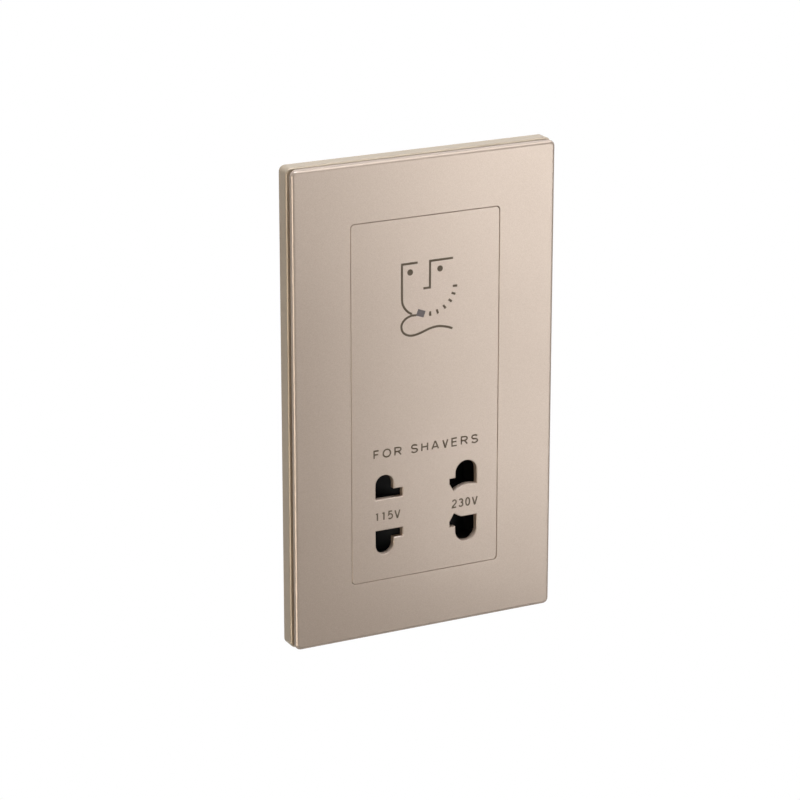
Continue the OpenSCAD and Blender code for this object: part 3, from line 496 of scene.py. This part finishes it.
def eased(path, steps=8):
    """A smooth curve through points: a Catmull-Rom cubic between each pair, sampled in even steps."""
    path = np.asarray(path, dtype=float)
    held = np.vstack([2 * path[0] - path[1], path, 2 * path[-1] - path[-2]])
    a, b, c, d = held[:-3, None], held[1:-2, None], held[2:-1, None], held[3:, None]
    t = np.linspace(0.0, 1.0, steps, endpoint=False)[None, :, None]
    squared, cubed = 2 * a - 5 * b + 4 * c - d, 3 * b - a - 3 * c + d
    curve = b + 0.5 * ((c - a) * t + squared * t ** 2 + cubed * t ** 3)
    return np.vstack([curve.reshape(-1, path.shape[1]), path[-1:]])


def printed_disc(x, z, radius, count=32):
    """A thin round dot: two rings of points, at the centre plus radius times (cos, sin), each closed by
    its centre."""
    turn = np.linspace(0.0, 2 * math.pi, count, endpoint=False)
    ring = np.stack([x + radius * np.cos(turn), z + radius * np.sin(turn)], axis=1)
    centre = np.full((count, 2), (x, z))
    levels = ((centre, print_front), (ring, print_front), (ring, print_back), (centre, print_back))
    rows = [np.insert(flat, 1, y, axis=1) for flat, y in levels]
    return np.stack(rows).reshape(-1, 3) * mm, grid_faces(4, count, False, True)


def printed_piece(name, parts, material):
    """One printed piece from several thin solids with flat faces. Neighbours differ in height by a small
    step, so that no two of their fronts lie in one plane."""
    points, faces, start = [], [], 0
    for number, (part_points, part_faces) in enumerate(parts):
        higher = number % 3 * print_step * mm
        part_points[:, 1] -= np.where(part_points[:, 1] < print_back * mm, higher, 0.0)
        points.append(part_points)
        faces.append(part_faces + start)
        start += len(part_points)
    piece = surface_piece(name, np.vstack(points), np.vstack(faces), material, "socket")
    piece.data.shade_flat()


print_front, print_back, print_step = -8.015, -7.99, 0.001
sign_line, shaver_w = 0.68, 2.05
jaw_turn = eased([(-7.8, 30.6), (-7.55, 29.2), (-6.75, 27.75), (-5.75, 26.7), (-4.55, 25.95)])
left_stroke = np.vstack([[(-2.7, 41.27), (-7.8, 41.27)], jaw_turn])
right_stroke = [(8.9, 41.27), (1.35, 41.27), (1.35, 33.25), (-0.8, 33.25)]
cord_stroke = eased([(-3.1, 25.45), (-4.65, 25.45), (-6.05, 25.05), (-7.15, 24.3), (-7.85, 23.3),
                     (-7.97, 22.2), (-7.65, 21.1), (-6.85, 20.2), (-5.6, 19.6), (-4.1, 19.42),
                     (-2.4, 19.7), (-0.35, 20.3), (1.6, 20.9), (3.55, 21.15), (5.2, 21.0), (7.2, 20.5),
                     (8.85, 19.85)])
stubble = [[(1.43, 26.0), (1.47, 24.6)], [(3.62, 26.3), (4.02, 25.0)], [(5.75, 27.35), (6.55, 26.25)],
           [(7.5, 28.9), (8.55, 28.05)], [(8.45, 30.7), (9.75, 30.25)], [(8.85, 32.75), (10.35, 32.7)]]
sign_strokes = (left_stroke, right_stroke, cord_stroke, *stubble)
sign_parts = [printed_stroke(stroke, sign_line) for stroke in sign_strokes]
sign_parts += [printed_disc(-5.14, 38.6, 0.94), printed_disc(4.64, 38.58, 0.92)]
brown_ink = printing_ink("brown_ink", (0.152, 0.112, 0.072), (0.188, 0.14, 0.092), 0.2)
printed_piece("sign_lines", sign_parts, brown_ink)
grey_ink = printing_ink("grey_ink", (0.125, 0.098, 0.094), (0.157, 0.123, 0.118), 0.5)
shaver_stroke = printed_stroke([(-2.85, 26.3), (-0.42, 25.36)], shaver_w)
printed_piece("sign_shaver", [shaver_stroke], grey_ink)


# The legends are pad-printed in the same ink: what the socket is for, and the voltage of each side.
# Each letter is plain strokes of one width, drawn in a box of one unit; its number is the width of that
# box as a share of the height.
def bow(x, z, half_w, half_h, start, end, steps=14):
    """Points on an ellipse, from one angle in degrees to another: its centre plus half its width times
    cos and half its height times sin."""
    turn = np.radians(np.linspace(start, end, steps))
    return np.stack([x + half_w * np.cos(turn), z + half_h * np.sin(turn)], axis=1)


def joined(*parts):
    """One path from points and runs of points."""
    return np.vstack([np.atleast_2d(part) for part in parts])


letter_strokes = {
    "A": (0.93, [[(0, 0), (0.45, 1), (0.55, 1), (1, 0)], [(0.2, 0.3), (0.8, 0.3)]]),
    "E": (0.75, [[(1, 1), (0, 1), (0, 0), (1, 0)], [(0, 0.53), (0.9, 0.53)]]),
    "F": (0.70, [[(1, 1), (0, 1), (0, 0)], [(0, 0.5), (0.88, 0.5)]]),
    "H": (0.84, [[(0, 0), (0, 1)], [(1, 0), (1, 1)], [(0, 0.52), (1, 0.52)]]),
    "O": (1.02, [bow(0.5, 0.5, 0.5, 0.5, 90, 440, 36)]),
    "R": (0.88, [joined((0, 0), (0, 1), (0.55, 1), bow(0.55, 0.75, 0.42, 0.25, 80, -80),
                        (0.55, 0.5), (0, 0.5)),
                 [(0.5, 0.5), (1, 0)]]),
    "S": (0.86, [joined(bow(0.5, 0.75, 0.47, 0.25, 20, 250, 18),
                        bow(0.5, 0.25, 0.5, 0.25, 70, -160, 18))]),
    "V": (0.72, [[(0, 1), (0.45, 0), (0.55, 0), (1, 1)]]),
    "0": (0.62, [bow(0.5, 0.5, 0.5, 0.5, 90, 440, 36)]),
    "1": (0.62, [[(0.58, 0), (0.58, 1)], [(0.22, 0.84), (0.5, 0.93)]]),
    "2": (0.62, [joined(bow(0.5, 0.72, 0.48, 0.28, 165, -30), (0.04, 0.12), (0, 0), (1, 0))]),
    "3": (0.62, [bow(0.47, 0.76, 0.43, 0.24, 160, -95), bow(0.47, 0.27, 0.5, 0.27, 95, -160)]),
    "5": (0.66, [joined((0.95, 1), (0.22, 1), (0.12, 0.56), bow(0.46, 0.33, 0.54, 0.32, 110, -135, 18))]),
}
word_gap, letter_line = 0.9, 0.46


def legend(name, words, x_low, x_high, z_low, z_high):
    """Prints words from letter strokes: the letters keep their widths, and even gaps fill the rest."""
    height = z_high - z_low
    widths = [letter_strokes[letter][0] * height if letter != " " else word_gap for letter in words]
    gap = (x_high - x_low - sum(widths)) / (len(words) - 1)
    parts = []
    x = x_low
    for letter, width in zip(words, widths):
        low = (x + letter_line / 2, z_low + letter_line / 2)
        size = (width - letter_line, height - letter_line)
        for stroke in letter_strokes[letter][1] if letter != " " else []:
            path = np.asarray(stroke, dtype=float) * size + low
            parts.append(printed_stroke(path, letter_line, closed=letter in "O0"))
        x += width + gap
    printed_piece(name, parts, brown_ink)


legend("legend_use", "FOR SHAVERS", -17.2, 17.7, -16.9, -14.1)
legend("legend_low_voltage", "115V", -16.9, -8.3, -36.4, -33.6)
legend("legend_high_voltage", "230V", 8.9, 17.7, -36.4, -33.6)


# The shutter slide is black acetal. It runs behind the apertures, and its two ramps let the pins of one
# voltage push it aside from the other's.
slide_acetal = moulded("slide_acetal", (0.005, 0.005, 0.005), 0.55, 0.12)
set_mirror(slide_acetal, 0.15)
shutter = broken_edges("shutter_slide", "shutter", "shutter", slide_acetal, 0.15 * mm)


# Two return springs of zinc-plated steel wire centre the slide; each stands in a bore of the slide and
# against a side wall of the contact block. The end turns lie close and are ground flat.
def carried_frames(path):
    """For points of a path: two axes square to it that turn as little as possible, found by carrying the
    first axis along and taking out what lies along each new direction."""
    ahead = np.gradient(path, axis=0)
    ahead /= np.linalg.norm(ahead, axis=1)[:, None]
    first = np.empty_like(path)
    carried = start_axis
    for i, way in enumerate(ahead):
        carried = carried - np.dot(carried, way) * way
        carried = carried / np.linalg.norm(carried)
        first[i] = carried
    return first, np.cross(ahead, first)


def round_tube(path, radius, sides):
    """A tube along points in millimetres: each ring is radius times (cos, sin) on the carried axes, and
    the ends close in a point."""
    first, second = carried_frames(path)
    turn = np.linspace(0.0, 2 * math.pi, sides, endpoint=False)[None, :, None]
    rings = path[:, None] + radius * (np.cos(turn) * first[:, None] + np.sin(turn) * second[:, None])
    start, end = (np.repeat(path[i, None, None], sides, axis=1) for i in (0, -1))
    rings = np.concatenate([start, rings, end])
    return rings.reshape(-1, 3) * mm, grid_faces(len(rings), sides, False, True)


start_axis = np.array([0.3, 0.2, 1.0])
spring_wire, wire_surface = plain_finish("spring_wire", (0.56, 0.57, 0.58), 0.29, 1.0)
wire_tree = spring_wire.node_tree
vary_gloss(wire_tree, wire_surface, noise(wire_tree, 2500.0, 2.0, (0.3, 1.0, 1.0)), 0.09)
spring_y, spring_z, coil_r, wire_r = -1.15, -34.65, 1.95, 0.25
spring_out_x, spring_in_x, spring_turns = 26.3, 9.7, 8.0
closed_turns, closed_rise, wire_points, wire_sides = 0.85, 0.032, 620, 10
share = np.linspace(0.0, 1.0, wire_points)
coil_turn = 2 * math.pi * spring_turns * share
end_share = closed_turns / spring_turns
rise = np.interp(share, [0.0, end_share, 1.0 - end_share, 1.0], [0.0, closed_rise, 1.0 - closed_rise, 1.0])
for side, name in ((-1.0, "left"), (1.0, "right")):
    x = side * (spring_out_x - wire_r - rise * (spring_out_x - spring_in_x - 2 * wire_r))
    y = spring_y + coil_r * np.cos(coil_turn)
    z = spring_z + coil_r * np.sin(coil_turn)
    tube = round_tube(np.stack([x, y, z], axis=1), wire_r, wire_sides)
    spring = closed_surface("return_spring_" + name, *tube, spring_wire)
    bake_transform(spring)
    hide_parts("spring_" + name)


# The contact block is a glass-filled polyester moulding, screwed to two ears of the insert. It guides the
# slide, and its four chambers hold the contacts. A plain plate of the same plastic closes them.
carrier_resin = moulded("carrier_resin", (0.036, 0.032, 0.028), 0.5)
carrier_moulding = broken_edges("contact_carrier", "carrier_moulding", "socket", carrier_resin, 0.12 * mm)
retainer_resin = moulded("retainer_resin", (0.153, 0.13, 0.107), 0.5)
retainer_plate = broken_edges("contact_retainer", "retainer_plate", "socket", retainer_resin, 0.12 * mm)


# All screws are zinc-plated steel, turned, with slotted pan heads. Four hold the contact block, four
# clamp the core, four hold the housing, and three close the terminals.
def worn_metal(name, colour, roughness, spread, cells, stretch=(1.0, 1.0, 1.0)):
    """Bare or plated metal: its gloss varies in streaks, its colour in slow clouds."""
    material, surface = plain_finish(name, colour, roughness, 1.0)
    tree = material.node_tree
    vary_gloss(tree, surface, noise(tree, cells, 4.0, stretch), spread)
    mottle(tree, surface, noise(tree, 250.0, 2.0), shaded(colour, 0.85))
    return material


screw_zinc = worn_metal("screw_zinc", (0.60, 0.61, 0.63), 0.30, 0.08, 1500.0)
for node in ("carrier_screws", "core_screws", "housing_screws", "terminal_screws"):
    turned_screws = broken_edges(node, node + "_turned", "socket", screw_zinc, 0.12 * mm)


# The three contacts are stamped and bent from phosphor bronze strip 0.5 mm thick, rolled lengthwise, with
# sheared edges. The common one spans both lower chambers; each has a tab through the retainer.
strip_bronze = worn_metal("strip_bronze", (0.72, 0.46, 0.22), 0.26, 0.07, 900.0, (0.15, 1.0, 1.0))
for node in ("contact_common", "contact_115", "contact_230"):
    stamped_contact = broken_edges(node, node + "_strip", "socket", strip_bronze, 0.05 * mm)


# The core is a stack of E and I laminations of silicon steel half a millimetre thick, dipped in varnish
# and clamped by four screws. The edges of the laminations show as fine lines across the stack.
def object_axis(tree, axis):
    """A piece's own X, Y or Z, in metres."""
    place = add_node(tree, "ShaderNodeTexCoord")
    parted = add_node(tree, "ShaderNodeSeparateXYZ")
    tree.links.new(place.outputs["Object"], parted.inputs["Vector"])
    return parted.outputs[axis]


lamination_t = 0.5 * mm
core_varnished, core_surface = plain_finish("core_varnished", (0.22, 0.23, 0.25), 0.42, 0.75)
core_tree = core_varnished.node_tree
core_sheets = maths(core_tree, "DIVIDE", object_axis(core_tree, "Y"), lamination_t)
core_seam = ranged(core_tree, maths(core_tree, "PINGPONG", core_sheets, 0.5), 0.0, 1.0, 0.05, 0.25)
mottle(core_tree, core_surface, core_seam, (0.03, 0.027, 0.024))
vary_gloss(core_tree, core_surface, noise(core_tree, 300.0, 3.0), 0.1)
relief(core_tree, core_surface, core_seam, 0.05 * mm, 0.6)
for node in ("core_e", "core_i"):
    core_stack = broken_edges(node, node + "_stack", "socket", core_varnished, 0.06 * mm)


# The bobbin is moulded in natural nylon with three flanges, so that the two windings stay apart. It
# slides over the core's centre leg before the core is closed.
bobbin_nylon = moulded("bobbin_nylon", (0.74, 0.69, 0.58), 0.45)
bobbin_moulding = broken_edges("bobbin", "bobbin_moulding", "socket", bobbin_nylon, 0.1 * mm)


# The windings are enamelled copper wire, the primary thinner than the secondary, laid turn by turn
# between the bobbin's flanges. The outer layer's turns are worked out as ripples up the coil.
def enamelled(name, colour):
    """Enamelled copper wire: metal under a clear coat, each turn a little darker or lighter."""
    material, surface = plain_finish(name, colour, 0.3, 1.0)
    tree = material.node_tree
    surface.inputs["Coat Weight"].default_value = 0.6
    surface.inputs["Coat Roughness"].default_value = 0.12
    mottle(tree, surface, noise(tree, 900.0, 2.0, (0.05, 0.05, 3.0)), shaded(colour, 0.62))
    return material


def wound_coil(low, high, wire_d, turns):
    """A coil that fills a box: each level is a rounded rectangle, drawn in by half a wire's thickness
    times 1 - |sin| of half the angle turned so far, which leaves a ripple for each turn of wire."""
    climb = np.linspace(0.0, 1.0, turns * points_per_turn + 1)
    dips = wire_d / 2 * (1 - np.abs(np.sin(math.pi * turns * climb)))
    half_w, half_d = (high[:2] - low[:2]) / 2
    outer = np.stack([rounded_outline(half_w - dip, half_d - dip, coil_corner_r - dip) for dip in dips])
    hole = rounded_outline(coil_hole_w, coil_hole_d, coil_hole_r)[None]
    flat = np.concatenate([hole, outer, hole])
    z = low[2] + np.concatenate([[0.0], climb, [1.0]]) * (high[2] - low[2])
    points = np.empty((*flat.shape[:2], 3))
    points[:, :, :2] = flat + (low[:2] + high[:2]) / 2
    points[:, :, 2] = z[:, None]
    return points * mm, grid_faces(*flat.shape[:2], True, True)


points_per_turn, coil_corner_r = 6, 3.7
coil_hole_w, coil_hole_d, coil_hole_r = 10.2, 11.2, 0.3
for node, wire_d, turns, colour in (("primary_winding", 0.3, 39, (0.58, 0.22, 0.10)),
                                    ("secondary_winding", 0.45, 25, (0.66, 0.29, 0.13))):
    coil = wound_coil(*node_box(node), wire_d, turns)
    coil_piece = surface_piece(node + "_coil", *coil, enamelled(node + "_enamel", colour), "socket")
    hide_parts(node)


# The thermal cut-out is a small tube of white ceramic with tinned wire ends. It lies against the primary
# winding and opens the mains lead if the transformer grows too hot.
cutout_body_half, cutout_fade = 5.0 * mm, 0.1 * mm
ceramic_white, tinned_grey = (0.72, 0.70, 0.64), (0.66, 0.66, 0.65)
cutout_finish, cutout_surface = plain_finish("cutout_finish", tinned_grey, 0.4)
cutout_tree = cutout_finish.node_tree
cutout_reach = maths(cutout_tree, "ABSOLUTE", object_axis(cutout_tree, "X"))
cutout_wire = ranged(cutout_tree, cutout_reach, 0.0, 1.0, cutout_body_half, cutout_body_half + cutout_fade)
mottle(cutout_tree, cutout_surface, cutout_wire, ceramic_white)
cutout_tree.links.new(cutout_wire, cutout_surface.inputs["Metallic"])
relief(cutout_tree, cutout_surface, noise(cutout_tree, 4000.0, 2.0), 0.01 * mm, 0.3)
cutout_tube = broken_edges("thermal_cutout", "cutout_tube", "socket", cutout_finish, 0.05 * mm)


# The rear housing is a box of dark polycarbonate with a fine textured outside, four lugs, vent slots
# and a window over the terminals. It closes the back and carries the core on four posts.
housing_resin = moulded("housing_resin", (0.040, 0.037, 0.034), 0.55, 0.4)
housing_moulding = broken_edges("rear_housing", "housing_moulding", "socket", housing_resin, 0.25 * mm)


# The terminal block is natural polyamide. Each of its three pockets holds a brass cage clamp, which the
# screw behind it closes on the conductor.
block_nylon = moulded("block_nylon", (0.72, 0.68, 0.60), 0.42)
block_moulding = broken_edges("terminal_block", "block_moulding", "socket", block_nylon, 0.15 * mm)
clamp_brass = worn_metal("clamp_brass", (0.76, 0.56, 0.26), 0.24, 0.06, 1200.0, (1.0, 1.0, 0.2))
clamp_cages = broken_edges("terminal_clamps", "clamp_cages", "socket", clamp_brass, 0.15 * mm)


# Five leads in coloured insulation join terminals, contacts, cut-out and bobbin. They run behind the
# retainer and cross forward under the core; a millimetre of each end is bare stranded copper.
def mains_route(side):
    """From a terminal out to one side, up past the contact block and forward under the core."""
    return [(side * terminal_pitch, y_clamp - lead_gap, z_block), (side * terminal_pitch, y_bend, z_block),
            (side * x_lane, y_bend, z_pair), (side * (x_side - lead_room), y_run, z_pair + tab_rise),
            (side * x_side, y_run, z_over), (side * x_side, y_cross, z_cross)]


def tab_route(circuit, z_tab):
    """From a contact's tab up behind the retainer and forward under the core to the bobbin's flange."""
    start, end = tab_x[circuit], pin_x[circuit]
    return [(start, y_run, z_tab + tab_seat), (start, y_run, z_over), ((start + end) / 2, y_cross, z_cross),
            (end, y_pin, z_bobbin - lead_room), (end, y_pin, z_bobbin - pin_gap)]


def evenly(path, step):
    """The same path with points an even step apart, and how far along it each lies."""
    lengths = np.linalg.norm(np.diff(path, axis=0), axis=1)
    reach = np.concatenate([[0.0], np.cumsum(lengths)])
    even = np.linspace(0.0, reach[-1], int(reach[-1] / step))
    return np.stack([np.interp(even, reach, path[:, axis]) for axis in range(3)], axis=1), even


def insulation(name, colour):
    """Soft PVC insulation, slightly glossy and uneven."""
    material, surface = plain_finish(name, colour, 0.38)
    tree = material.node_tree
    vary_gloss(tree, surface, noise(tree, 400.0, 2.0), 0.08)
    relief(tree, surface, noise(tree, 1200.0, 2.0), 0.03 * mm, 0.3)
    return material


y_run, y_bend, y_pin, y_cross, y_clamp, y_cutout = 16.0, 17.175, 2.225, 6.3575, 22.35, -3.55
z_over, z_cross, z_block, z_pair = -18.95, -9.85, -43.35, -34.65
z_core, z_bobbin, z_cutout = -0.75, 8.4, 15.325
x_lane, x_side, x_flange, x_cutout, terminal_pitch, tab_rise = 17.525, 26.1, 17.75, 9.0, 13.0, 8.8
lead_r, lead_gap, lead_room, pin_gap, tab_seat = 0.8, 0.2, 3.0, 0.6, 0.25
lead_step, bare_end, sleeve_sides, strand_sides = 0.5, 1.0, 20, 14
strand_r = lead_r / 2
tab_x = {"115": -11.95, "230": 12.825, "common": 0.0}
pin_x = {"115": -0.55 * x_flange, "230": 0.55 * x_flange, "common": 0.0, "neutral": 0.9 * x_flange}
live_route = mains_route(-1) + [
    (-x_side, y_pin, z_core), (-x_flange - lead_room, y_cutout + lead_r, z_bobbin - lead_room),
    (-x_cutout - 2 * lead_room, y_cutout, z_cutout - lead_room),
    (-x_cutout - lead_gap, y_cutout, z_cutout)]
neutral_route = mains_route(1) + [
    ((x_side + pin_x["neutral"]) / 2, y_pin, z_core),
    (pin_x["neutral"], y_pin, z_bobbin - lead_room), (pin_x["neutral"], y_pin, z_bobbin - pin_gap)]
strand_copper = worn_metal("strand_copper", (0.80, 0.46, 0.30), 0.3, 0.06, 1500.0)
for node, route, slot, colour in (
        ("lead_live", live_route, "lead_brown", (0.16, 0.060, 0.022)),
        ("lead_neutral", neutral_route, "lead_blue", (0.05, 0.16, 0.42)),
        ("lead_common", tab_route("common", z_pair - tab_rise), "lead_black", (0.018, 0.018, 0.018)),
        ("lead_115", tab_route("115", z_pair + tab_rise), "lead_yellow", (0.72, 0.52, 0.06)),
        ("lead_230", tab_route("230", z_pair + tab_rise), "lead_red", (0.48, 0.035, 0.025))):
    strands, reach = evenly(eased(route), lead_step)
    covered = strands[(reach > bare_end) & (reach < reach[-1] - bare_end)]
    sleeve_pvc = insulation(node + "_pvc", colour)
    sleeve_tube = round_tube(covered, lead_r, sleeve_sides)
    sleeve = surface_piece(node + "_sleeve", *sleeve_tube, sleeve_pvc, "socket")
    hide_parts(node)
    strand_tube = round_tube(strands, strand_r, strand_sides)
    surface_piece(node + "_strands", *strand_tube, strand_copper, "socket")
